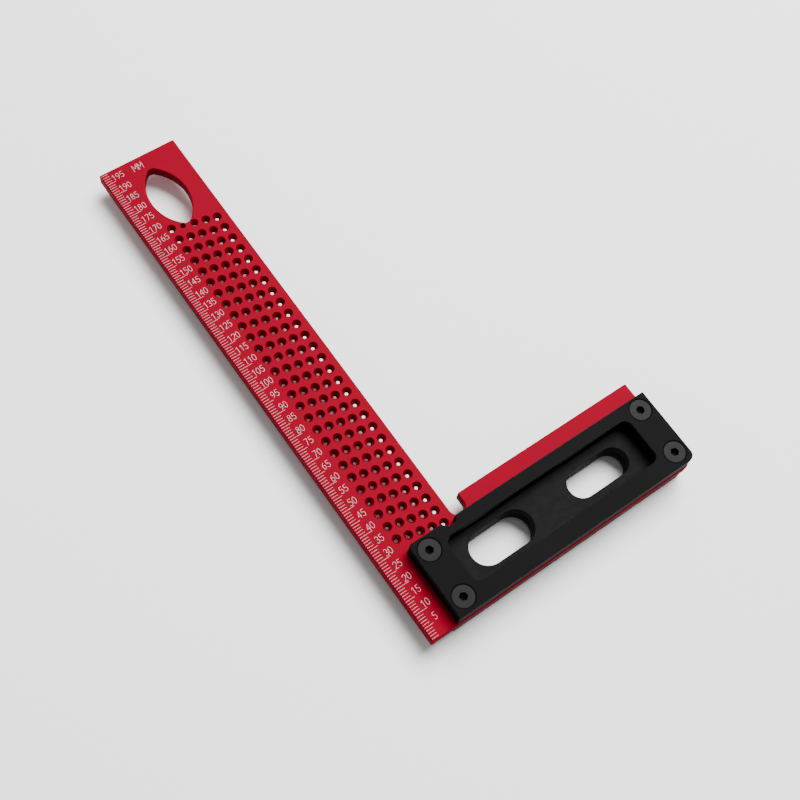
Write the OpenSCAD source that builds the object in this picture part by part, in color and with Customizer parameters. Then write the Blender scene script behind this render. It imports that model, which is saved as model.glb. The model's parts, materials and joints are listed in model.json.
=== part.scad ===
// Fixed marking square for woodworking: a flat L-shaped plate with a millimetre blade
// and rows of scribing holes, clamped between two stock halves by four screws.
// The stock's back face is the fence: the scribing holes count millimetres from it.

/* [Plate] */
// Thickness of the L-shaped plate
plate_t = 4; // [3:0.5:6]
// Length of the blade, from the outer corner to its square end
blade_l = 200; // [196:2:240]
// Width of the blade
blade_w = 30; // [30:0.5:34]
// Length of the short arm, from the outer corner to its end
arm_l = 108; // [104:1:130]
// How far the arm's lip stands out past the fence
lip_w = 6.8; // [5.5:0.1:10]
// Width of the relief notch in the inner corner
relief_w = 5.5; // [4.5:0.1:7]
// Radius of the plate's and the stock's outer end corner
end_r = 2.5; // [1:0.5:4]

/* [Scribing holes] */
// Number of rows along the blade
hole_rows = 28; // [10:1:28]
// Distance between rows
row_pitch = 5; // [5:1:5]
// Distance between the columns
column_pitch = 4; // [3.8:0.1:4.2]
// Distance of the first column from the blade's outer edge
first_column = 10; // [9:0.5:11]
// Diameter of a hole's narrow waist, half way through the plate
scribe_d = 1.2; // [0.8:0.1:2]
// Diameter of a hole's mouth on either face
scribe_mouth_d = 3.1; // [2.6:0.1:3.4]

/* [Hanging hole] */
// Width of the lens-shaped hole
hang_w = 13.5; // [10:0.5:15]
// Length of the hole along the blade, over its rounded tips
hang_l = 25.3; // [22:0.1:26]
// Radius of the rounded tips
hang_tip_r = 2.2; // [1.5:0.1:3]
// Distance of the hole's middle from the blade's outer edge
hang_x = 16.4; // [15:0.1:17]
// Distance of the hole's middle from the blade's square end
hang_from_end = 19.5; // [17:0.5:22]

/* [Stock] */
// Length of the stock
stock_l = 98; // [94:1:100]
// Width of the stock, from its front face to the fence
stock_w = 28; // [27:0.5:30]
// Distance of the stock's front face from the plate's front edge
stock_setback = 0.4; // [0:0.1:1]
// Height of each stock half, above or below the plate
stock_h = 6; // [5.5:0.5:8]
// Length of the recess in the upper half
recess_l = 76; // [72:1:78]
// Width of the recess
recess_w = 17.2; // [16:0.2:18]
// Corner radius of the recess
recess_r = 3; // [2:0.5:4]
// Depth of the shallow recess under the lower half
under_recess_d = 2.2; // [1:0.1:2.5]
// How far the locating pad reaches past the recess on each side
pad_rim = 1.5; // [1:0.1:1.8]

/* [Slots] */
// Length of the two through slots
slot_l = 24.2; // [20:0.1:26]
// Width of the slot nearer the blade
slot_inner_w = 12.2; // [10:0.1:13]
// Width of the slot nearer the arm's end
slot_outer_w = 10.2; // [8:0.1:12]
// Distance between the slots' middles
slot_pitch = 40.5; // [38:0.5:42]

/* [Screws] */
// Thread diameter of the four screws
screw_d = 4; // [4:0.5:4]
// Length of a screw, with its head
screw_l = 14; // [12:0.5:14]
// Diameter of a screw's head
head_d = 7.6; // [7:0.1:7.8]
// Diameter of the countersink at the stock's face
sink_d = 8.2; // [8:0.1:8.6]
// Distance of the screws from the stock's two ends
screw_inset = 5; // [4.6:0.1:5.4]
// Distance between the two screws of one end
screw_span = 18; // [17:0.5:18.5]
// Width across the flats of the hexagon socket
hex_af = 2.5; // [2:0.5:3]

/* [Hidden] */
$fn = 64;
cut = 1;                          // overlap of a cutting shape past the face it cuts
fit_gap = 0.1;                    // gap round the locating pad in the plate's window
scribe_fn = 32;
waist_h = 0.4;                    // height of a scribing hole's waist
columns = 5;                      // columns of scribing holes
hole_step = 1;                    // how much nearer the fence each column is than the last
skin = 0.1;                       // how far a turned cut runs past the plate's faces
clearance_play = 0.4;             // extra width of the holes that a screw passes through
shank_play = 0.1;                 // a shank is this much under its tapped hole, so they never overlap
screw_clearance_d = screw_d + clearance_play;
screw_shank_d = screw_d - shank_play;
head_seat_gap = 0.02;             // gap between a head's cone and its countersink
head_land = 0.15;                 // height of the straight rim on a head
hex_depth = 2.2;

fence_y = stock_setback + stock_w;
arm_w = fence_y + lip_w;
relief_r = relief_w / 2;
relief_rise = 3.2;                // centre of the notch's round bottom, past the fence
relief_y = fence_y + relief_rise;
lip_corner_r = 0.8;
stock_x = arm_l - stock_l;
stock_corner_r = 1.5;
stock_mid_x = stock_x + stock_l / 2;
recess_shift = 0.7;               // the recess lies this much behind the stock's middle line
recess_mid_y = stock_setback + stock_w / 2 + recess_shift;
plate_z = stock_h;                // underside of the plate
plate_top_z = plate_z + plate_t;
top_z = plate_top_z + stock_h;
last_hole = hole_at(0, columns - 1);
last_hole_relief_r = 3;
hang_fn = 128;
hang_y = blade_l - hang_from_end;
// The lens is two arcs that touch the tip circles: radius from width, length and tip radius
hang_a = hang_w / 2;
hang_tip_y = hang_l / 2 - hang_tip_r;
hang_arc_r = (hang_tip_y ^ 2 + hang_a ^ 2 - hang_tip_r ^ 2) / (2 * (hang_a - hang_tip_r));
hang_arc_x = hang_arc_r - hang_a;
hang_touch_y = hang_tip_y * hang_arc_r / (hang_arc_r - hang_tip_r);
screw_front_inset = 5.2;          // front screws, from the stock's front face
screw_front_y = stock_setback + screw_front_inset;
screw_x = [stock_x + screw_inset, arm_l - screw_inset];
screw_y = [screw_front_y, screw_front_y + screw_span];

// Place of one scribing hole. The holes stand at every whole millimetre from the fence.
function hole_at(row, column) = [
    first_column + column * column_pitch,
    fence_y + (columns - column) * hole_step + row * row_pitch];

// Puts the outer corner so that the object's box is centred on the origin
module place() translate([-arm_l / 2, -blade_l / 2, 0]) children();

// A rectangle about its centre with four round corners, from plain squares and circles
module round_box(length, width, r) {
    square([length - 2 * r, width], center = true);
    square([length, width - 2 * r], center = true);
    for (x = [-1, 1], y = [-1, 1])
        translate([x * (length / 2 - r), y * (width / 2 - r)]) circle(r);
}

// What a cut takes off a square corner at the origin, so that it ends round.
// sx and sy point from the corner into the body.
module corner_waste(r, sx, sy) translate([sx * r, sy * r]) difference() {
    translate([sx < 0 ? 0 : -r - cut, sy < 0 ? 0 : -r - cut]) square(r + cut);
    circle(r);
}

module slot_shape(width) {
    square([slot_l - width, width], center = true);
    for (x = [-1, 1]) translate([x * (slot_l - width) / 2, 0]) circle(width / 2);
}

module slots_at_place() translate([stock_mid_x, recess_mid_y]) {
    translate([-slot_pitch / 2, 0]) slot_shape(slot_inner_w);
    translate([slot_pitch / 2, 0]) slot_shape(slot_outer_w);
}

// Two arcs that bulge to the sides, closed by a small circle at each tip
module hanging_shape() translate([hang_x, hang_y]) {
    intersection() {
        translate([hang_arc_x, 0]) circle(hang_arc_r, $fn = hang_fn);
        translate([-hang_arc_x, 0]) circle(hang_arc_r, $fn = hang_fn);
        square([hang_w + cut, 2 * hang_touch_y], center = true);
    }
    for (s = [-1, 1]) translate([0, s * hang_tip_y]) circle(hang_tip_r);
}

module at_screws() for (x = screw_x, y = screw_y) translate([x, y]) children();

module plate_shape() difference() {
    union() {
        square([blade_w, blade_l]);
        square([arm_l, arm_w]);
    }
    translate([blade_w, relief_y]) square([relief_w, arm_w]);
    translate([blade_w + relief_r, relief_y]) circle(relief_r);
    translate([blade_w + relief_w, arm_w]) corner_waste(lip_corner_r, 1, -1);
    translate([arm_l, 0]) corner_waste(end_r, -1, 1);
    translate([stock_mid_x, recess_mid_y])
        round_box(recess_l + 2 * pad_rim, recess_w + 2 * pad_rim, recess_r + pad_rim);
    hanging_shape();
    at_screws() circle(screw_clearance_d / 2);
}

// Two funnels, one from each face, that meet in a short narrow waist.
// One profile turned about the hole's axis; it stops just past both faces.
module scribing_hole() {
    wide = scribe_mouth_d / 2;
    waist = scribe_d / 2;
    low = (plate_t - waist_h) / 2;
    high = (plate_t + waist_h) / 2;
    rotate_extrude($fn = scribe_fn) polygon([
        [0, -skin], [wide, -skin], [wide, 0], [waist, low],
        [waist, high], [wide, plate_t], [wide, plate_t + skin], [0, plate_t + skin]]);
}

module scribing_holes() for (row = [0:hole_rows - 1], column = [0:columns - 1])
    translate(hole_at(row, column)) scribing_hole();

// The stock's outline, with the round bite that keeps the last scribing hole open
module stock_shape() difference() {
    translate([stock_x, stock_setback]) square([stock_l, stock_w]);
    translate([arm_l, stock_setback]) corner_waste(end_r, -1, 1);
    translate([stock_x, fence_y]) corner_waste(stock_corner_r, 1, -1);
    translate(last_hole) circle(last_hole_relief_r);
}

module countersink() {
    cone_h = (sink_d - screw_clearance_d) / 2;
    translate([0, 0, plate_top_z - cut]) cylinder(d = screw_clearance_d, h = stock_h + 2 * cut);
    translate([0, 0, top_z - cone_h]) cylinder(d1 = screw_clearance_d, d2 = sink_d, h = cone_h);
    translate([0, 0, top_z]) cylinder(d = sink_d, h = cut);
}

// The head rests on the countersink's cone, so its top lies a little below the stock's face
module screw(x, y) color("#3a3a3c") place() translate([x, y, 0]) {
    cone_top_z = top_z - (sink_d - head_d) / 2 - head_seat_gap;
    cone_h = (head_d - screw_shank_d) / 2;
    head_top_z = cone_top_z + head_land;
    difference() {
        union() {
            translate([0, 0, head_top_z - screw_l]) cylinder(d = screw_shank_d, h = screw_l - cone_h);
            translate([0, 0, cone_top_z - cone_h]) cylinder(d1 = screw_shank_d, d2 = head_d, h = cone_h);
            translate([0, 0, cone_top_z]) cylinder(d = head_d, h = head_land);
        }
        translate([0, 0, head_top_z - hex_depth])
            cylinder(d = hex_af / cos(30), h = hex_depth + cut, $fn = 6);
    }
}

module square_plate() color("#b01c2e") place() translate([0, 0, plate_z]) difference() {
    linear_extrude(plate_t) plate_shape();
    scribing_holes();
}

// A frame above the plate and, inside it, the locating pad that fills the plate's window
module upper_stock() color("#232324") place() difference() {
    union() {
        translate([0, 0, plate_top_z]) linear_extrude(stock_h) stock_shape();
        translate([stock_mid_x, recess_mid_y, plate_z]) linear_extrude(plate_t)
            round_box(recess_l + 2 * (pad_rim - fit_gap), recess_w + 2 * (pad_rim - fit_gap),
                      recess_r + pad_rim - fit_gap);
    }
    translate([stock_mid_x, recess_mid_y, plate_top_z])
        linear_extrude(stock_h + cut) round_box(recess_l, recess_w, recess_r);
    translate([0, 0, plate_z - cut]) linear_extrude(plate_t + 2 * cut) slots_at_place();
    at_screws() countersink();
}

module lower_stock() color("#232324") place() difference() {
    linear_extrude(stock_h) stock_shape();
    translate([0, 0, -cut]) linear_extrude(stock_h + 2 * cut) slots_at_place();
    translate([stock_mid_x, recess_mid_y, -cut])
        linear_extrude(under_recess_d + cut) round_box(recess_l, recess_w, recess_r);
    at_screws() translate([0, 0, -cut]) cylinder(d = screw_d, h = stock_h + 2 * cut);
}

module screw_blade_front() screw(screw_x[0], screw_y[0]);
module screw_blade_back() screw(screw_x[0], screw_y[1]);
module screw_end_front() screw(screw_x[1], screw_y[0]);
module screw_end_back() screw(screw_x[1], screw_y[1]);

square_plate();
upper_stock();
lower_stock();
screw_blade_front();
screw_blade_back();
screw_end_front();
screw_end_back();
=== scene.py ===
import json
from math import pi, radians

import bpy
import numpy as np
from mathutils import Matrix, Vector
from mathutils.geometry import delaunay_2d_cdt


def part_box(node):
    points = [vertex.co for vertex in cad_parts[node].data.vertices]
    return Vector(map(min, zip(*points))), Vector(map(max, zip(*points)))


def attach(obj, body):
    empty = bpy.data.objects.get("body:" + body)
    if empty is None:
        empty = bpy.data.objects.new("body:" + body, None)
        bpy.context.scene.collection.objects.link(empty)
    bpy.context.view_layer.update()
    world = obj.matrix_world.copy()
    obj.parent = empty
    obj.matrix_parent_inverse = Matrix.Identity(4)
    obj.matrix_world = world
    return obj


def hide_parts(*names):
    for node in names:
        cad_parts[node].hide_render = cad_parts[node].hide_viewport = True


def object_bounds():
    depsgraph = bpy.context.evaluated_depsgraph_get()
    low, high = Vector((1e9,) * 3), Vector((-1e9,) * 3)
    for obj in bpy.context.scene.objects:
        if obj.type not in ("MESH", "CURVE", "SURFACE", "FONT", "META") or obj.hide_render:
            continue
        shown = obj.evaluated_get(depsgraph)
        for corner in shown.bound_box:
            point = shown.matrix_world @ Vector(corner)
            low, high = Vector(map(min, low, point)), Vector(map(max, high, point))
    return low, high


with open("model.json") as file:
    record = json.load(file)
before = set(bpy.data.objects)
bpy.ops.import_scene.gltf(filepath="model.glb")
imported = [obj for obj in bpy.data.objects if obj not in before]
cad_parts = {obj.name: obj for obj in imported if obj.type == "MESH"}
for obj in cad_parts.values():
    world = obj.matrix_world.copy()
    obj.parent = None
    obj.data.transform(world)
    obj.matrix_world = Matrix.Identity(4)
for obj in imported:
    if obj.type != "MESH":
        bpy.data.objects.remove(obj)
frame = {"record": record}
cadLow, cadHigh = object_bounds()
record = frame["record"]
mm = 0.001
rng = np.random.default_rng(7)


# Lengths in this script are millimetres from the plate's outer corner, with z from the stock's
# underside. toRow turns them into the frame's metres.
plateLow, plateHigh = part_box("square_plate")
upperLow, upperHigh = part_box("upper_stock")
cornerPoint = np.array([plateLow.x, plateLow.y, cadLow.z])
plateBottom = (plateLow.z - cadLow.z) / mm
plateTop = (plateHigh.z - cadLow.z) / mm
stockTop = (upperHigh.z - cadLow.z) / mm
bladeLength = (plateHigh.y - plateLow.y) / mm
armLength = (plateHigh.x - plateLow.x) / mm
stockLeft = (upperLow.x - plateLow.x) / mm
stockFront = (upperLow.y - plateLow.y) / mm
fenceY = (upperHigh.y - plateLow.y) / mm
openings = {o["name"]: np.array(o["box_m"]) for o in record["physics"]["openings"]}
mountAt = {m["name"]: np.array(m["pos_m"]) for m in record["mounts"]}


def toRow(points):
    return cornerPoint + np.asarray(points, float) * mm


def openingCentre(name):
    return (openings[name].mean(axis=0) - cornerPoint)[:2] / mm


# Paths in the plane

def unit(v):
    return v / np.linalg.norm(v)


def cornerArc(before, corner, after, radius, count=7):
    # A fillet: it leaves the first line at radius * tan(turn / 2) before the corner
    before, corner, after = (np.array(p, float) for p in (before, corner, after))
    u, v = unit(corner - before), unit(after - corner)
    turn = np.arctan2(u[0] * v[1] - u[1] * v[0], u @ v)
    start = corner - u * radius * np.tan(abs(turn) / 2)
    centre = start + np.sign(turn) * radius * np.array([-u[1], u[0]])
    angle = np.arctan2(start[1] - centre[1], start[0] - centre[0]) + turn * np.linspace(0, 1, count)
    return centre + radius * np.column_stack([np.cos(angle), np.sin(angle)])


def arcPath(centre, radius, first, last, count):
    # x = cx + r cos a, y = cy + r sin a, with a in degrees from first to last
    angle = np.radians(np.linspace(first, last, count))
    return np.array(centre) + radius * np.column_stack([np.cos(angle), np.sin(angle)])


def ringPath(centre, radius, count):
    return arcPath(centre, radius, 0, 360, count + 1)[:-1]


def roundBox(centre, length, width, radius, count=9):
    corners = np.array(centre) + np.array([[-1, -1], [1, -1], [1, 1], [-1, 1]]) * [length / 2, width / 2]
    return np.concatenate([cornerArc(corners[k - 1], corners[k], corners[(k + 1) % 4], radius, count)
                           for k in range(4)])


def slotPath(centre, length, width, count=25):
    half = (length - width) / 2
    return np.concatenate([arcPath(np.array(centre) + [half, 0], width / 2, -90, 90, count),
                           arcPath(np.array(centre) - [half, 0], width / 2, 90, 270, count)])


def insetPath(path, distance):
    # A corner moves along the sum of its edges' normals: d (n1 + n2) / (1 + n1 . n2)
    edge = np.roll(path, -1, 0) - path
    edge = edge / np.linalg.norm(edge, axis=1, keepdims=True)
    normal = np.column_stack([-edge[:, 1], edge[:, 0]])
    before = np.roll(normal, 1, 0)
    return path + distance * (normal + before) / (1 + (normal * before).sum(1, keepdims=True))


def bevel(size, along=0.8, across=0.07):
    # A broken edge as (inset, depth) pairs: a 45 degree flat with softened ends
    return [(size, 0), (along * size, across * size), (across * size, along * size), (0, size)]


# Solids from walls and caps

joinDistance = 1e-7


class Solid:
    # Walls are loops carried down a profile of (inset, z) pairs. The material lies left of a
    # loop's travel, so outer loops run anticlockwise and holes clockwise.
    def __init__(self):
        self.points, self.faces, self.edge, self.flat, self.milled, self.count = [], [], [], [], [], 0

    def ring(self, path, z):
        self.points.append(np.column_stack([path, np.full(len(path), float(z))]))
        self.count += len(path)
        return np.arange(self.count - len(path), self.count)

    def band(self, upper, lower, edge=0.0, milled=0.0):
        quads = np.column_stack([upper, lower, np.roll(lower, -1), np.roll(upper, -1)])
        self.faces.append(quads)
        self.edge.append(np.full(len(quads), edge))
        self.flat.append(np.zeros(len(quads), bool))
        self.milled.append(np.full(len(quads), milled))

    def wall(self, path, profile, edges=(), milled=0.0):
        # edges names the bands, counted from the top, that are broken edges
        rings = [self.ring(insetPath(path, inset) if inset else path, z) for inset, z in profile]
        for k in range(len(rings) - 1):
            self.band(rings[k], rings[k + 1], 1.0 if k in edges else 0.0, 0.0 if k in edges else milled)
        return rings[0], rings[-1]

    def cap(self, rings, up, milled=0.0):
        # A flat face between whole rings: constrained triangles, less those in the holes
        every = np.concatenate(rings)
        table = np.concatenate(self.points)[every][:, :2]
        starts = np.cumsum([0] + [len(r) for r in rings])
        edges = np.concatenate([np.column_stack([np.arange(a, b), np.roll(np.arange(a, b), -1)])
                                for a, b in zip(starts[:-1], starts[1:])])
        found = delaunay_2d_cdt([tuple(p) for p in table], edges.tolist(), [], 0, joinDistance, True)
        source = np.array([s[0] if s else -1 for s in found[3]])
        if (source < 0).any():
            raise ValueError("two loops of a flat face cross")
        triangles = source[np.array(found[2])]
        # A middle is in the material if a ray to +x crosses an odd number of ring edges
        px, py = table[triangles].mean(axis=1).T[:, :, None]
        (ax, ay), (bx, by) = table[edges[:, 0]].T, table[edges[:, 1]].T
        spans = (ay > py) != (by > py)
        drop = np.where(by == ay, 1.0, by - ay)
        crossed = spans & (px < ax + (py - ay) * (bx - ax) / drop)
        triangles = every[triangles[crossed.sum(axis=1) % 2 == 1]]
        self.addFlat(triangles if up else triangles[:, ::-1], milled)

    def addFlat(self, faces, milled=0.0):
        self.faces.append(faces)
        self.edge.append(np.zeros(len(faces)))
        self.flat.append(np.ones(len(faces), bool))
        self.milled.append(np.full(len(faces), milled))

    def fan(self, ring, centre, up):
        tip = self.ring(np.array([centre[:2]]), centre[2])[0]
        triangles = np.column_stack([ring, np.roll(ring, -1), np.full(len(ring), tip)])
        self.addFlat(triangles if up else triangles[:, ::-1])

    def make(self, name, sharpAngle=35):
        mesh = bpy.data.meshes.new(name)
        sizes = np.concatenate([np.full(len(f), f.shape[1]) for f in self.faces])
        corners = np.concatenate([f.ravel() for f in self.faces]).astype(np.int32)
        mesh.vertices.add(self.count)
        mesh.vertices.foreach_set("co", toRow(np.concatenate(self.points)).ravel())
        mesh.loops.add(len(corners))
        mesh.loops.foreach_set("vertex_index", corners)
        mesh.polygons.add(len(sizes))
        mesh.polygons.foreach_set("loop_start", np.concatenate([[0], np.cumsum(sizes)[:-1]]))
        mesh.update(calc_edges=True)
        flat = np.concatenate(self.flat)
        mesh.polygons.foreach_set("use_smooth", ~flat)
        mesh.set_sharp_from_angle(angle=radians(sharpAngle))
        # Every edge of a flat face is sharp too, so its long triangles shade evenly
        loopEdges = np.empty(len(corners), np.int32)
        mesh.loops.foreach_get("edge_index", loopEdges)
        sharp = (mesh.attributes.get("sharp_edge")
                 or mesh.attributes.new("sharp_edge", "BOOLEAN", "EDGE"))
        marks = np.zeros(len(mesh.edges), bool)
        sharp.data.foreach_get("value", marks)
        marks[loopEdges[np.repeat(flat, sizes)]] = True
        sharp.data.foreach_set("value", marks)
        for attribute, values in (("edgeWear", self.edge), ("milled", self.milled)):
            layer = mesh.attributes.new(attribute, "FLOAT", "FACE")
            layer.data.foreach_set("value", np.concatenate(values))
        mesh.validate()
        piece = bpy.data.objects.new(name, mesh)
        bpy.context.scene.collection.objects.link(piece)
        return piece


# Materials

def nodeSet(name):
    material = bpy.data.materials.new(name)
    material.use_nodes = True
    tree = material.node_tree
    shader = tree.nodes["Principled BSDF"]
    place = tree.nodes.new("ShaderNodeTexCoord")
    return material, tree, shader, place


def addNoise(tree, place, scale, detail=3.0, stretch=(1, 1, 1)):
    turn = tree.nodes.new("ShaderNodeMapping")
    turn.inputs["Scale"].default_value = stretch
    noise = tree.nodes.new("ShaderNodeTexNoise")
    noise.inputs["Scale"].default_value = scale
    noise.inputs["Detail"].default_value = detail
    tree.links.new(place.outputs["Object"], turn.inputs["Vector"])
    tree.links.new(turn.outputs["Vector"], noise.inputs["Vector"])
    return noise.outputs["Fac"]


def addRange(tree, value, low, high, fromLow=0.3, fromHigh=0.7):
    node = tree.nodes.new("ShaderNodeMapRange")
    node.inputs["From Min"].default_value = fromLow
    node.inputs["From Max"].default_value = fromHigh
    node.inputs["To Min"].default_value = low
    node.inputs["To Max"].default_value = high
    tree.links.new(value, node.inputs["Value"])
    return node.outputs["Result"]


def addMath(tree, operation, first, second):
    node = tree.nodes.new("ShaderNodeMath")
    node.operation = operation
    for socket, value in zip(node.inputs, (first, second)):
        if isinstance(value, (int, float)):
            socket.default_value = value
        else:
            tree.links.new(value, socket)
    return node.outputs["Value"]


def addMix(tree, factor, first, second):
    node = tree.nodes.new("ShaderNodeMix")
    node.data_type = "RGBA"
    tree.links.new(factor, node.inputs["Factor"])
    for socket, value in ((node.inputs[6], first), (node.inputs[7], second)):
        if isinstance(value, tuple):
            socket.default_value = (*value, 1)
        else:
            tree.links.new(value, socket)
    return node.outputs[2]


# What all the finishes share: noise detail, the range that makes wear patchy, the stretch of
# the tool lines, the grain's share of the roughness, and the bump's height in metres
finishValues = {
    "grainDetail": 2, "cloudDetail": 4, "wearDetail": 5, "lineDetail": 5,
    "wearRange": (0.38, 0.62), "lineStretch": (0.7, 1, 1), "grainRough": 0.03, "bumpHeight": 0.00002,
}


def anodised(name, look, v=finishValues):
    # Satin oxide: a fine blasted grain, faint broad clouding, and paler worn edges
    material, tree, shader, place = nodeSet(name)
    grain = addNoise(tree, place, look["grainScale"], v["grainDetail"])
    cloud = addNoise(tree, place, look["cloudScale"], v["cloudDetail"])
    wear = tree.nodes.new("ShaderNodeAttribute")
    wear.attribute_name = "edgeWear"
    patches = addNoise(tree, place, look["wearScale"], v["wearDetail"])
    patchy = addMath(tree, "MULTIPLY", addRange(tree, patches, 0, 1, *v["wearRange"]), look["wear"])
    share = addMath(tree, "MULTIPLY", wear.outputs["Fac"], patchy)
    body = addMix(tree, addRange(tree, cloud, 0, 1), look["colour"], look["colourCloud"])
    if "milledColour" in look:
        # Cut surfaces take the dye differently from rolled ones; on the plate this darker cut colour is
        # also painted shade on the walls and in the holes
        milled = tree.nodes.new("ShaderNodeAttribute")
        milled.attribute_name = "milled"
        lines = addNoise(tree, place, look["lineScale"], v["lineDetail"], v["lineStretch"])
        cutBody = addMix(tree, addRange(tree, lines, 0, 1), look["milledColour"], look["milledLight"])
        body = addMix(tree, milled.outputs["Fac"], body, cutBody)
    tree.links.new(addMix(tree, share, body, look["wornColour"]), shader.inputs["Base Color"])
    rough = addMath(tree, "ADD", addRange(tree, cloud, *look["roughness"]),
                    addRange(tree, grain, -v["grainRough"], v["grainRough"]))
    tree.links.new(rough, shader.inputs["Roughness"])
    shader.inputs["Metallic"].default_value = look["metallic"]
    shader.inputs["Specular IOR Level"].default_value = look["specular"]
    bump = tree.nodes.new("ShaderNodeBump")
    bump.inputs["Strength"].default_value = look["bump"]
    bump.inputs["Distance"].default_value = v["bumpHeight"]
    tree.links.new(grain, bump.inputs["Height"])
    tree.links.new(bump.outputs["Normal"], shader.inputs["Normal"])
    return material


plateLook = {
    "colour": (0.175, 0.0005, 0.0100), "colourCloud": (0.190, 0.0006, 0.0115),
    "wornColour": (0.22, 0.010, 0.018), "wear": 0.25, "wearScale": 900,
    "metallic": 0.15, "specular": 0.012, "roughness": (0.58, 0.66),
    "grainScale": 5200, "cloudScale": 60, "bump": 0.35,
    # The plate's cut colour is darker than its body: painted shade on its walls and in its holes, over a
    # cut-surface tone
    "milledColour": (0.075, 0.0004, 0.004), "milledLight": (0.10, 0.0005, 0.005), "lineScale": 1500,
}
stockLook = {
    "colour": (0.0026, 0.0026, 0.0025), "colourCloud": (0.0034, 0.0034, 0.0032),
    "wornColour": (0.03, 0.03, 0.03), "wear": 0.3, "wearScale": 1500,
    "metallic": 0.0, "specular": 0.025, "roughness": (0.50, 0.58),
    "grainScale": 5200, "cloudScale": 60, "bump": 0.35,
    "milledColour": (0.0042, 0.0042, 0.0041), "milledLight": (0.0070, 0.0070, 0.0068), "lineScale": 500,
}
screwLook = {
    "colour": (0.0034, 0.0034, 0.0036), "colourCloud": (0.0052, 0.0052, 0.0054),
    "wornColour": (0.03, 0.03, 0.03), "wear": 0.5, "wearScale": 900,
    "metallic": 0.4, "specular": 0.055, "roughness": (0.34, 0.42),
    "grainScale": 6500, "cloudScale": 400, "bump": 0.3,
}
markLook = {
    "colour": (0.70, 0.50, 0.53), "colourCloud": (0.58, 0.38, 0.41),
    "wornColour": (0.8, 0.8, 0.8), "wear": 0.0, "wearScale": 400,
    "metallic": 0.0, "specular": 0.3, "roughness": (0.55, 0.65),
    "grainScale": 7000, "cloudScale": 700, "bump": 0.4,
}
plateMaterial = anodised("anodisedRed", plateLook)
stockMaterial = anodised("anodisedBlack", stockLook)
screwMaterial = anodised("darkSteel", screwLook)
markMaterial = anodised("whiteMarks", markLook)
print("materials ready")


def place(piece, material, slotName, *nodes):
    piece.data.materials.append(material)
    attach(piece, "root")
    if nodes:
        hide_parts(*nodes)
    return piece


# Outlines that several pieces share

stockValues = {
    "frontLeftRound": 0.4, "endRound": 2.5, "backRightRound": 0.4, "backLeftRound": 1.5,
    "biteRadius": 3.0, "recessLength": 76.0, "recessWidth": 17.2, "recessRound": 3.0,
    "padRim": 1.4, "slotLength": 24.2, "slotWidths": (12.2, 10.2), "underRecess": 2.2,
    "topBevel": 0.35, "recessBevel": 0.2, "slotBevel": 0.15, "jointBevel": 0.3, "bottomBevel": 0.3,
    "sinkDiameter": 8.2, "screwHoleDiameter": 4.4, "tappedDiameter": 4.0,
    "footRound": 0.25, "footStep": 0.07, "sinkBevel": 0.08, "tappedBevel": 0.25,
    "cornerSteps": 10, "biteSteps": 24, "recessSteps": 12,
}
holeValues = {"rows": 28, "columns": 5, "rowPitch": 5.0, "columnPitch": 4.0, "step": 1.0,
              "mouth": 1.55, "waist": 0.6, "waistHalf": 0.2, "lip": 0.07, "lipShare": 0.3,
              "edgeRoom": 0.05, "sides": 28}

firstHole = (mountAt["scribing_holes"] - cornerPoint)[:2] / mm
columnStep = np.array([holeValues["columnPitch"], -holeValues["step"]])
lastHole = firstHole + (holeValues["columns"] - 1) * columnStep
recessCentre = openingCentre("recess")
slotCentres = [openingCentre("slot_near_blade"), openingCentre("slot_near_end")]
screwNames = ["screw_blade_front", "screw_blade_back", "screw_end_front", "screw_end_back"]
screwAt = {n: ((np.array(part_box(n)[0]) + np.array(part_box(n)[1])) / 2 - cornerPoint)[:2] / mm
           for n in screwNames}


def stockOutline(v):
    left, right, front, back = stockLeft, armLength, stockFront, fenceY
    # The bite is a circle about the last hole; it meets the back edge where sin a = rise / r
    rise = lastHole[1] - back
    half = np.degrees(np.arcsin(rise / v["biteRadius"]))
    corners = [(left, front), (right, front), (right, back), (left, back)]
    rounds = [v["frontLeftRound"], v["endRound"], v["backRightRound"], v["backLeftRound"]]
    parts = [cornerArc(corners[k - 1], corners[k], corners[(k + 1) % 4], rounds[k],
                       v["cornerSteps"]) for k in range(4)]
    bite = arcPath(lastHole, v["biteRadius"], -half, half - 180, v["biteSteps"])
    return np.concatenate([parts[0], parts[1], parts[2], bite, parts[3]])


def screwRings(radius, count=40):
    return [ringPath(screwAt[n], radius, count)[::-1] for n in screwNames]


# The plate

plateValues = {
    "bladeWidth": 30.0, "lip": 6.8, "endRound": 2.5, "tinyRound": 0.45, "lipRound": 0.8,
    "reliefWidth": 5.5, "reliefY": 3.2, "topBevel": 0.4, "bottomBevel": 0.25,
    "lensWidth": 13.5, "lensLength": 25.3, "lensTip": 2.2, "lensBevel": 0.3, "padGap": 0.1,
    # Shares of the darker cut colour on the outer walls, the lens walls and the hole funnels: a
    # cut-surface tone with painted shade
    "edgeDyeAndShade": 0.9, "lensDyeAndShade": 0.8, "holeDyeAndShade": 0.3,
    "tinySteps": 4, "endSteps": 12, "lipSteps": 8, "reliefSteps": 28, "wideSteps": 40, "tipSteps": 12,
}


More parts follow.
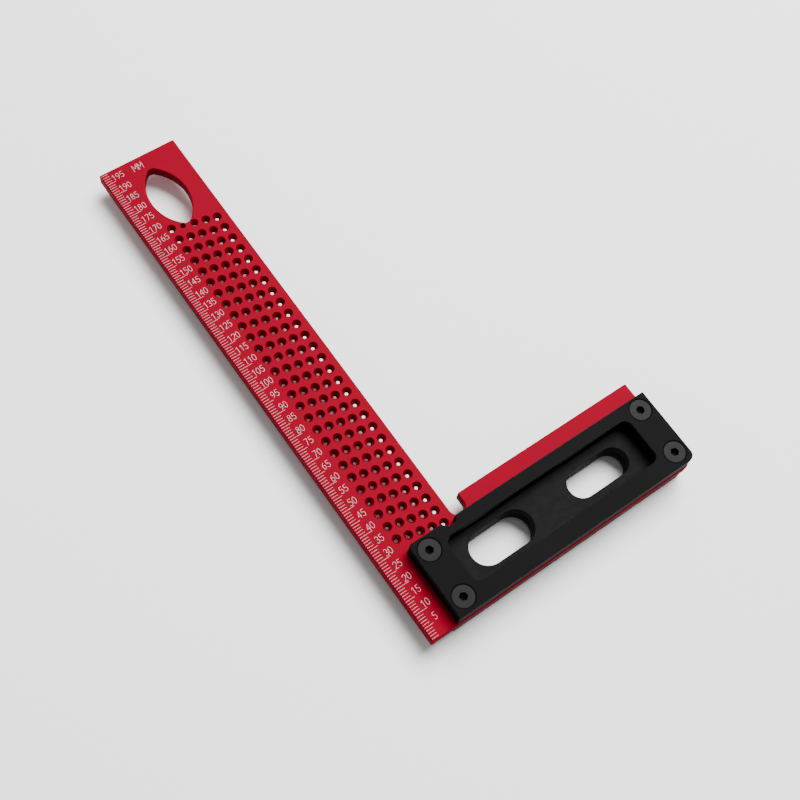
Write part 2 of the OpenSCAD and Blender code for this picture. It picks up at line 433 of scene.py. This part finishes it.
def plateOutline(v):
    lipY = fenceY + v["lip"]
    reliefRadius = v["reliefWidth"] / 2
    reliefCentre = (v["bladeWidth"] + reliefRadius, fenceY + v["reliefY"])
    far = v["bladeWidth"] + v["reliefWidth"]
    tipLeft, tipRight = (0, bladeLength), (v["bladeWidth"], bladeLength)
    tiny = v["tinyRound"]
    corners = [(0, 0), (armLength, 0), (armLength, lipY), (far, lipY), (far, 0)]
    return np.concatenate([
        cornerArc(tipLeft, corners[0], corners[1], tiny, v["tinySteps"]),
        cornerArc(corners[0], corners[1], corners[2], v["endRound"], v["endSteps"]),
        cornerArc(corners[1], corners[2], corners[3], tiny, v["tinySteps"]),
        cornerArc(corners[2], corners[3], corners[4], v["lipRound"], v["lipSteps"]),
        arcPath(reliefCentre, reliefRadius, 0, -180, v["reliefSteps"]),
        cornerArc((v["bladeWidth"], 0), tipRight, tipLeft, tiny, v["tinySteps"]),
        cornerArc(tipRight, tipLeft, (0, 0), tiny, v["tinySteps"])])


def lensPath(v, centre):
    # Two wide arcs that touch a small circle at each tip. With half width a, tip radius q and
    # tip centre at height c, the wide radius is R = (c^2 + a^2 - q^2) / (2 (a - q))
    a, q = v["lensWidth"] / 2, v["lensTip"]
    c = v["lensLength"] / 2 - q
    wide = (c * c + a * a - q * q) / (2 * (a - q))
    shift = wide - a
    reach = np.degrees(np.arctan2(c, shift))
    return np.concatenate([
        arcPath((centre[0] - shift, centre[1]), wide, -reach, reach, v["wideSteps"])[:-1],
        arcPath((centre[0], centre[1] + c), q, reach, 180 - reach, v["tipSteps"])[:-1],
        arcPath((centre[0] + shift, centre[1]), wide, 180 - reach, 180 + reach, v["wideSteps"])[:-1],
        arcPath((centre[0], centre[1] - c), q, 180 + reach, 360 - reach, v["tipSteps"])[:-1]])


def buildPlate(v, holes):
    solid = Solid()
    top, bottom = plateTop, plateBottom
    lens = lensPath(v, openingCentre("hanging_hole"))

    def profile(topSize, bottomSize):
        upper = [(i, top - d) for i, d in bevel(topSize)]
        return upper + [(i, bottom + d) for i, d in bevel(bottomSize)[::-1]]

    broken = (0, 1, 2, 4, 5, 6)
    # The outer walls here and the lens walls below take most of the darker cut colour: painted shade on
    # the plate's sides over a cut-surface tone
    outer = solid.wall(plateOutline(v), profile(v["topBevel"], v["bottomBevel"]), broken, v["edgeDyeAndShade"])
    lensProfile = profile(v["lensBevel"], v["bottomBevel"])
    rings = [outer, solid.wall(lens[::-1], lensProfile, broken, v["lensDyeAndShade"])]
    rim = stockValues["padRim"] + v["padGap"]
    window = roundBox(recessCentre, stockValues["recessLength"] + 2 * rim,
                      stockValues["recessWidth"] + 2 * rim, stockValues["recessRound"] + rim)
    rings.append(solid.wall(window[::-1], [(0, top), (0, bottom)]))
    rings += [solid.wall(r, [(0, top), (0, bottom)])
              for r in screwRings(stockValues["screwHoleDiameter"] / 2)]
    # Scribing holes: row k, column c at y = y0 + 5 k - c, x = x0 + 4 c. Beside the lens a
    # mouth is kept just clear of its edge.
    row, column = np.divmod(np.arange(holes["rows"] * holes["columns"]), holes["columns"])
    centres = firstHole + np.column_stack([column * holes["columnPitch"],
                                           row * holes["rowPitch"] - column * holes["step"]])
    toLens = np.linalg.norm(centres[:, None] - lens[None], axis=2).min(1)
    room = toLens - v["lensBevel"] - holes["lip"] - holes["edgeRoom"]
    mouths = np.minimum(holes["mouth"], room)
    middle = (top + bottom) / 2
    lip, part = holes["lip"], holes["lipShare"] * holes["lip"]
    for centre, mouth in zip(centres, mouths):
        gap = mouth - holes["waist"]
        funnel = [(lip, top), (part, top - part), (0, top - lip),
                  (-gap, middle + holes["waistHalf"]), (-gap, middle - holes["waistHalf"]),
                  (0, bottom + lip), (part, bottom + part), (lip, bottom)]
        path = ringPath(centre, mouth, holes["sides"])[::-1]
        # The funnel walls take part of the darker cut colour: painted shade in the holes over a
        # cut-surface tone
        rings.append(solid.wall(path, funnel, (0, 1, 5, 6), v["holeDyeAndShade"]))
    solid.cap([r[0] for r in rings], True)
    solid.cap([r[1] for r in rings], False)
    return solid.make("squarePlate")


place(buildPlate(plateValues, holeValues), plateMaterial, "plate_red", "square_plate")
print("plate ready")


# The two stock halves

def buildUpperStock(v):
    solid = Solid()
    top, floor, base = stockTop, plateTop, plateBottom
    outline = stockOutline(v)
    upper = [(i, top - d) for i, d in bevel(v["topBevel"])]
    outer = solid.wall(outline, upper + [(0, floor)], (0, 1, 2))
    recess = roundBox(recessCentre, v["recessLength"], v["recessWidth"], v["recessRound"],
                      v["recessSteps"])[::-1]
    rim = [(i, top - d) for i, d in bevel(v["recessBevel"])]
    foot, step = v["footRound"], v["footStep"]
    inner = solid.wall(recess, rim + [(0, floor + foot), (-step, floor + step), (-foot, floor)], (0, 1, 2))
    cone = (v["sinkDiameter"] - v["screwHoleDiameter"]) / 2
    edge = v["sinkBevel"]
    sink = [(edge, top), (0, top - edge), (-cone, top - cone - edge), (-cone, floor)]
    holes = [solid.wall(r, sink, (0,)) for r in screwRings(v["sinkDiameter"] / 2)]
    solid.cap([outer[0], inner[0]] + [h[0] for h in holes], True)
    # The pad goes on down through the plate's window, and the slots go through the pad
    slotEdge = [(i, floor - d) for i, d in bevel(v["slotBevel"])]
    joint = v["jointBevel"]
    slots = [solid.wall(slotPath(c, v["slotLength"], w)[::-1],
                        slotEdge + [(0, base + joint), (joint, base)], (0, 1, 2, 4))
             for c, w in zip(slotCentres, v["slotWidths"])]
    solid.cap([inner[1]] + [s[0] for s in slots], True, 1.0)
    padPath = roundBox(recessCentre, v["recessLength"] + 2 * v["padRim"],
                       v["recessWidth"] + 2 * v["padRim"], v["recessRound"] + v["padRim"])
    pad = solid.wall(padPath, [(0, floor), (0, base)])
    # The underside round the pad: the pad's ring is a hole in it
    solid.cap([outer[1], pad[0]] + [h[1] for h in holes], False)
    solid.cap([pad[1]] + [s[1] for s in slots], False)
    return solid.make("upperStock")


def buildLowerStock(v):
    solid = Solid()
    top, bottom = plateBottom, 0.0
    lower = [(i, bottom + d) for i, d in bevel(v["bottomBevel"])[::-1]]
    outer = solid.wall(stockOutline(v), [(0, top)] + lower, (1, 2, 3))
    ceiling = v["underRecess"]
    under = [(0, ceiling)] + [(i, bottom + d) for i, d in bevel(v["recessBevel"])[::-1]]
    recessPath = roundBox(recessCentre, v["recessLength"], v["recessWidth"], v["recessRound"],
                          v["recessSteps"])[::-1]
    recess = solid.wall(recessPath, under, (1, 2, 3))
    joint = v["jointBevel"]
    slotEdge = [(joint, top), (0, top - joint)]
    slotEdge += [(i, ceiling + d) for i, d in bevel(v["slotBevel"])[::-1]]
    slots = [solid.wall(slotPath(c, v["slotLength"], w)[::-1], slotEdge, (0, 2, 3, 4))
             for c, w in zip(slotCentres, v["slotWidths"])]
    edge = v["tappedBevel"]
    holes = [solid.wall(r, [(0, top), (0, bottom + edge), (edge, bottom)], (1,))
             for r in screwRings(v["tappedDiameter"] / 2)]
    solid.cap([outer[0]] + [s[0] for s in slots] + [h[0] for h in holes], True)
    solid.cap([outer[1], recess[1]] + [h[1] for h in holes], False)
    solid.cap([recess[0]] + [s[1] for s in slots], False, 1.0)
    return solid.make("lowerStock")


place(buildUpperStock(stockValues), stockMaterial, "stock_black", "upper_stock")
place(buildLowerStock(stockValues), stockMaterial, "stock_black", "lower_stock")
print("stock ready")


# The screws

screwValues = {"hexFlats": 2.5, "hexDepth": 2.2, "rimBevel": 0.12, "rimHeight": 0.15,
               "shankRadius": 1.95, "socketBevel": 0.15, "sides": 48, "tipBevel": 0.4,
               "rimInset": 0.02, "bevelShare": 0.6, "drillPoint": 0.4, "sharpAngle": 25}


def buildScrew(name, v, turn):
    # The socket's ring is the hexagon in polar form: r = f / cos((a mod 60) - 30), f half the flats
    low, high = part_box(name)
    centre = screwAt[name]
    top, tip = (high.z - cadLow.z) / mm, (low.z - cadLow.z) / mm
    head = (high.x - low.x) / 2 / mm
    angle = np.arange(v["sides"]) * 2 * pi / v["sides"]
    hexRadius = v["hexFlats"] / 2 / np.cos(np.mod(angle, pi / 3) - pi / 6)
    ray = np.column_stack([np.cos(angle + turn), np.sin(angle + turn)])
    solid = Solid()
    cone = head - v["shankRadius"]
    coneTop = top - v["rimHeight"]
    shank, socketTop = v["shankRadius"], top - v["socketBevel"]
    # Rings from the tip up and into the socket: radius, z, and 1 where a broken edge follows
    steps = [(shank - v["tipBevel"], tip, 0), (shank, tip + v["tipBevel"], 0), (shank, coneTop - cone, 0),
             (head, coneTop, 1), (head - v["rimInset"], top - v["rimBevel"] * v["bevelShare"], 1),
             (head - v["rimBevel"], top, 0), (hexRadius + v["socketBevel"] * v["bevelShare"], top, 1),
             (hexRadius, socketTop, 0), (hexRadius, top - v["hexDepth"], 0)]
    rings = [solid.ring(centre + ray * np.reshape(r, (-1, 1)), z) for r, z, _ in steps]
    for k in range(len(rings) - 1):
        solid.band(rings[k + 1], rings[k], steps[k][2])
    solid.fan(rings[-1], (*centre, top - v["hexDepth"] - v["drillPoint"]), True)
    solid.fan(rings[0], (*centre, tip), False)
    return solid.make(name.replace("_", "-"), v["sharpAngle"])


for name, turn in zip(screwNames, rng.uniform(0, pi / 3, 4)):
    place(buildScrew(name, screwValues, turn), screwMaterial, "screw_steel", name)
print("screws ready")


# The millimetre marks

markValues = {"from": 0.5, "short": 2.9, "middle": 3.85, "long": 5.2, "tickWidth": 0.08, "last": 199,
              "digitHeight": 2.35, "digitWidth": 1.25, "digitPitch": 1.54, "digitCentre": 5.5,
              "baseline": 0.42, "stroke": 0.095, "samples": 16, "proud": 0.012, "sunk": 0.05,
              "unitsAt": (13.3, 195.0), "unitsHeight": 2.9, "unitsPitch": 2.1, "unitsWidth": 1.65,
              "numberStep": 5, "longStep": 10, "glyphWidth": 0.6}

# A stroke's ends: the step out and the narrowing, and the least divisor at a sharp corner
strokeValues = {"endStep": 0.42, "endShare": 0.45, "cornerLimit": 0.35}


def arcStroke(cx, cy, rx, ry, first, last, count=14):
    angle = np.radians(np.linspace(first, last, count))
    return np.column_stack([cx + rx * np.cos(angle), cy + ry * np.sin(angle)])


def resample(path, count):
    # Even steps along the path's length, with the nearest step moved onto each of its corners
    path = np.array(path, float)
    along = np.concatenate([[0], np.cumsum(np.linalg.norm(np.diff(path, axis=0), axis=1))])
    wanted = np.linspace(0, along[-1], count)
    wanted[np.abs(wanted[:, None] - along).argmin(axis=0)] = along
    return np.column_stack([np.interp(wanted, along, path[:, 0]), np.interp(wanted, along, path[:, 1])])


# Each glyph is a few strokes in a box one high and about 0.6 wide
glyphs = {
    "0": [arcStroke(0.30, 0.5, 0.27, 0.5, 90, 450, 30)],
    "1": [[(0.12, 0.76), (0.36, 1.0), (0.36, 0.0)]],
    "2": [np.vstack([arcStroke(0.30, 0.70, 0.26, 0.30, 165, -35), [(0.04, 0.0)], [(0.58, 0.0)]])],
    "3": [np.vstack([arcStroke(0.28, 0.745, 0.24, 0.255, 150, -90),
                     arcStroke(0.28, 0.25, 0.28, 0.25, 90, -150)])],
    "4": [[(0.44, 0.0), (0.44, 1.0), (0.02, 0.30), (0.60, 0.30)]],
    "5": [np.vstack([[(0.54, 1.0), (0.13, 1.0), (0.08, 0.56)],
                     arcStroke(0.28, 0.31, 0.28, 0.31, 125, -145)])],
    "6": [np.vstack([arcStroke(0.55, 0.32, 0.51, 0.68, 108, 180, 8),
                     arcStroke(0.30, 0.29, 0.26, 0.29, 180, 540)])],
    "7": [[(0.03, 1.0), (0.57, 1.0), (0.20, 0.0)]],
    "8": [np.vstack([arcStroke(0.30, 0.76, 0.22, 0.24, -90, 270),
                     arcStroke(0.30, 0.26, 0.27, 0.26, 90, 450)])],
    "9": [np.vstack([arcStroke(0.05, 0.68, 0.51, 0.68, -72, 0, 8),
                     arcStroke(0.30, 0.71, 0.26, 0.29, 0, 360)])],
    "M": [[(0.0, 0.0), (0.0, 1.0), (0.5, 0.30), (1.0, 1.0), (1.0, 0.0)]],
}


def ribbons(solid, strokes, width, low, high):
    # Strokes are (count, n, 2) centre lines. A side point is p + w m / 2, where m is the corner's
    # normal from its two edges; the ends step out half a width and narrow, so they look round.
    step = np.diff(strokes, axis=1)
    step /= np.linalg.norm(step, axis=2, keepdims=True)
    before = np.concatenate([step[:, :1], step], axis=1)
    after = np.concatenate([step, step[:, -1:]], axis=1)
    across = np.stack([-(before + after)[..., 1], (before + after)[..., 0]], axis=2)
    across /= np.maximum(1 + (before * after).sum(2, keepdims=True), strokeValues["cornerLimit"])
    along = np.stack([across[..., 1], -across[..., 0]], axis=2)
    first = strokes[:, :1] - along[:, :1] * width * strokeValues["endStep"]
    last = strokes[:, -1:] + along[:, -1:] * width * strokeValues["endStep"]
    line = np.concatenate([first, strokes, last], axis=1)
    ends = across[:, :1] * strokeValues["endShare"], across[:, -1:] * strokeValues["endShare"]
    across = np.concatenate([ends[0], across, ends[1]], axis=1) * width / 2
    left, right = line + across, line - across
    count, n = line.shape[:2]
    rows = []
    for side, z in ((left, high), (right, high), (left, low), (right, low)):
        rows.append(solid.ring(side.reshape(-1, 2), z).reshape(count, n))
    lt, rt, lb, rb = rows

    def quads(a, b, c, d):
        solid.addFlat(np.stack([a, b, c, d], axis=-1).reshape(-1, 4))

    quads(rt[:, :-1], rt[:, 1:], lt[:, 1:], lt[:, :-1])
    quads(lb[:, :-1], lb[:, 1:], rb[:, 1:], rb[:, :-1])
    quads(rb[:, :-1], rb[:, 1:], rt[:, 1:], rt[:, :-1])
    quads(lb[:, 1:], lb[:, :-1], lt[:, :-1], lt[:, 1:])
    quads(lb[:, :1], rb[:, :1], rt[:, :1], lt[:, :1])
    quads(rb[:, -1:], lb[:, -1:], lt[:, -1:], rt[:, -1:])


def buildMarks(v):
    solid = Solid()
    low, high = plateTop - v["sunk"], plateTop + v["proud"]
    at = np.arange(1, v["last"] + 1, dtype=float)
    reach = np.where(at % v["longStep"] == 0, v["long"],
                     np.where(at % v["numberStep"] == 0, v["middle"], v["short"]))
    starts = np.column_stack([np.full(len(at), v["from"]), at])
    ticks = np.stack([starts, np.column_stack([reach, at])], axis=1)
    ribbons(solid, ticks, v["tickWidth"], low, high)
    strokes = []
    for number in range(v["numberStep"], v["last"] + 1, v["numberStep"]):
        text = str(number)
        start = v["digitCentre"] - (len(text) - 1) * v["digitPitch"] / 2 - v["digitWidth"] / 2
        for k, letter in enumerate(text):
            corner = np.array([start + k * v["digitPitch"], number + v["baseline"]])
            size = [v["digitWidth"] / v["glyphWidth"], v["digitHeight"]]
            strokes += [resample(s, v["samples"]) * size + corner for s in glyphs[letter]]
    for k in range(2):
        margin = (v["unitsPitch"] - v["unitsWidth"]) / 2
        corner = np.array([v["unitsAt"][0] + (k - 1) * v["unitsPitch"] + margin, v["unitsAt"][1]])
        strokes += [resample(s, v["samples"] + 1) * [v["unitsWidth"], v["unitsHeight"]] + corner
                    for s in glyphs["M"]]
    for n in sorted({len(s) for s in strokes}):
        ribbons(solid, np.array([s for s in strokes if len(s) == n]), v["stroke"], low, high)
    return solid.make("scaleMarks")


place(buildMarks(markValues), markMaterial, "mark_white")
print("marks ready")


# Floor, light and camera

floorValues = {"half": 3.0, "colour": (0.93, 0.93, 0.92), "roughness": 0.8}
floorMesh = bpy.data.meshes.new("floor")
half = floorValues["half"]
floorCorners = [(x * half, y * half, cadLow.z) for x, y in ((-1, -1), (1, -1), (1, 1), (-1, 1))]
floorMesh.from_pydata(floorCorners, [], [(0, 1, 2, 3)])
floor = bpy.data.objects.new("floor", floorMesh)
bpy.context.scene.collection.objects.link(floor)
floorMaterial, _, floorShader, _ = nodeSet("paleFloor")
floorShader.inputs["Base Color"].default_value = (*floorValues["colour"], 1)
floorShader.inputs["Roughness"].default_value = floorValues["roughness"]
floorMesh.materials.append(floorMaterial)


def addArea(name, location, target, size, power):
    light = bpy.data.lights.new(name, "AREA")
    light.shape = "RECTANGLE"
    light.size = light.size_y = size
    light.energy = power
    lamp = bpy.data.objects.new(name, light)
    lamp.location = location
    direction = np.array(target, float) - np.array(location, float)
    lamp.rotation_euler = Vector(direction).to_track_quat("-Z", "Y").to_euler()
    bpy.context.scene.collection.objects.link(lamp)


lightValues = {"world": 0.42, "key": 66.0, "at": (0.62, 0.26, 1.28), "size": 1.0}
world = bpy.data.worlds.new("studio")
world.use_nodes = True
world.node_tree.nodes["Background"].inputs["Color"].default_value = (1, 1, 1, 1)
world.node_tree.nodes["Background"].inputs["Strength"].default_value = lightValues["world"]
bpy.context.scene.world = world
addArea("key", lightValues["at"], (0, 0, 0), lightValues["size"], lightValues["key"])

cameraValues = {"location": (-0.15233, -0.14759, 0.40143), "turn": (24.261, -6.139, -35.584),
                "lens": 58.34, "sensorWidth": 36, "clipStart": 0.01}
cameraData = bpy.data.cameras.new("camera")
cameraData.lens = cameraValues["lens"]
cameraData.sensor_width = cameraValues["sensorWidth"]
cameraData.clip_start = cameraValues["clipStart"]
camera = bpy.data.objects.new("camera", cameraData)
camera.location = cameraValues["location"]
camera.rotation_euler = [radians(a) for a in cameraValues["turn"]]
bpy.context.scene.collection.objects.link(camera)
bpy.context.scene.camera = camera
print("scene ready")
